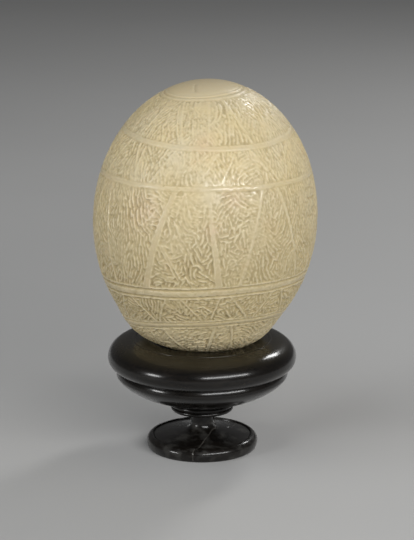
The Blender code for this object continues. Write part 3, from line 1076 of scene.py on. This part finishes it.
def ebonyMaterial():
    tree, shader, material = newMaterial("polishedEbony")
    place = objectPlace(tree)
    grain = noise(tree, objectPlace(tree, blackWood["grain"]), 1.0)
    broad = noise(tree, place, blackWood["broad"])
    crack = attribute(tree, "crack")

    wood = ramp(tree, grain, *blackWood["streaky"])
    wood = blendColour(tree, wood, blackWood["dark"], blackWood["streak"])
    # painted reflection: the rim's top is painted brown where it would mirror the egg
    paintedEggReflection = heightRamp(tree, place, *blackWood["paintedEggReflectionFrom"])
    wood = blendColour(tree, paintedEggReflection, wood, blackWood["paintedEggReflection"])
    lowDown = heightRamp(tree, place, *blackWood["dustFrom"])
    dust = combine(tree, "MULTIPLY", lowDown, patchy(tree, place, blackWood["dustPatches"]))
    wood = blendColour(tree, dust, wood, blackWood["dust"])
    filled = ramp(tree, crack, *blackWood["crackFill"])
    filled = combine(tree, "MULTIPLY", filled, ramp(tree, broad, *blackWood["crackPatches"]))
    give(tree, shader.inputs["Base Color"], blendColour(tree, filled, wood, blackWood["crackDust"]))

    rough = ramp(tree, broad, *blackWood["roughness"])
    for more in (
        ramp(tree, grain, *blackWood["grainRough"]),
        ramp(tree, crack, *blackWood["crackRough"]),
        combine(tree, "MULTIPLY", dust, blackWood["dustRough"]),
        combine(tree, "MULTIPLY", lowDown, blackWood["footRough"]),
    ):
        rough = combine(tree, "ADD", rough, more)
    give(tree, shader.inputs["Roughness"], rough)

    pores = bump(tree, grain, *blackWood["pores"])
    lumps, detail, *height = blackWood["unevenness"]
    give(tree, shader.inputs["Normal"], bump(tree, noise(tree, place, lumps, detail), *height, pores))
    setSockets(shader, blackWood["finish"])
    return material


# floor, room and lights
studio = {
    "floor": (0.5, 0.495, 0.485),
    "floorShade": 0.97,  # how much of that its darker patches have
    "floorPatches": (3.0, 3.0, 0.3, 0.7),
    "floorRoughness": 0.75,
    "floorSide": 24000.0,
    "room": (0.80, 0.80, 0.80),
    "roomStrength": 0.09,
    "aimHeight": 100.0,
    # lights: degrees to the right of the front, degrees up, distance, width, height, watts,
    # and whether polished wood mirrors them
    "lights": {
        "longSoftbox": (30.0, 24.0, 1500.0, 1500.0, 190.0, 15.8, True),
        "leftSoftbox": (-60.0, 11.0, 1400.0, 380.0, 200.0, 4.8, True),
        "leftFill": (-52.0, 52.0, 1700.0, 1500.0, 1100.0, 8.6, False),
        "rightFill": (80.0, 42.0, 1700.0, 1300.0, 1100.0, 3.0, False),
        "backSoftbox": (145.0, 39.0, 1500.0, 250.0, 420.0, 5.0, True),
    },
    "coolLight": (0.92, 0.96, 1.0),  # of the lights that aren't mirrored
}


def makeFloor():
    tree, shader, material = newMaterial("paleFloor")
    shade = tuple(studio["floorShade"] * part for part in studio["floor"])
    patches = patchy(tree, objectPlace(tree), studio["floorPatches"])
    give(tree, shader.inputs["Base Color"], blendColour(tree, patches, studio["floor"], shade))
    shader.inputs["Roughness"].default_value = studio["floorRoughness"]
    half = studio["floorSide"] / 2
    corners = [(-half, -half, 0), (half, -half, 0), (half, half, 0), (-half, half, 0)]
    meshPiece("floor", corners, [(0, 1, 2, 3)], material)


def placeLights():
    target = Vector((0.0, 0.0, studio["aimHeight"]))
    for name, (right, up, distance, width, height, power, mirrored) in studio["lights"].items():
        lamp = bpy.data.lights.new(name, "AREA")
        lamp.shape = "RECTANGLE"
        lamp.size = width * mm
        lamp.size_y = height * mm
        lamp.energy = power
        if not mirrored:
            lamp.color = studio["coolLight"]
        holder = bpy.data.objects.new(name, lamp)
        holder.visible_glossy = mirrored
        bpy.context.scene.collection.objects.link(holder)
        right, up = math.radians(right), math.radians(up)
        way = Vector((math.sin(right) * math.cos(up), -math.cos(right) * math.cos(up), math.sin(up)))
        holder.location = (target + way * distance) * mm
        holder.rotation_euler = way.to_track_quat("Z", "Y").to_euler()
    world = bpy.data.worlds.new("studio")
    world.use_nodes = True
    sky = world.node_tree.nodes["Background"]
    sky.inputs["Color"].default_value = (*studio["room"], 1.0)
    sky.inputs["Strength"].default_value = studio["roomStrength"]
    bpy.context.scene.world = world


ebony = ebonyMaterial()
carvedEgg = carveEgg(eggshellMaterial())
turnedDish = turnedPiece("turnedDish", dishOutline(), dish["segments"], ebony)
turnedFoot = turnedPiece("turnedFoot", footOutline(), foot["segments"], ebony, crackFoot)
report("stand turned")
for piece, stoodFor, finish in (
    (carvedEgg, "ostrich_egg", "eggshell"),
    (turnedDish, "stand_dish", "ebony"),
    (turnedFoot, "stand_foot", "ebony"),
):
    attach(piece, "root")
    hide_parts(stoodFor)
    report(f"{piece.name}: {sum(len(face.vertices) - 2 for face in piece.data.polygons)} triangles")
makeFloor()
placeLights()
bpy.context.scene.view_settings.view_transform = "Standard"
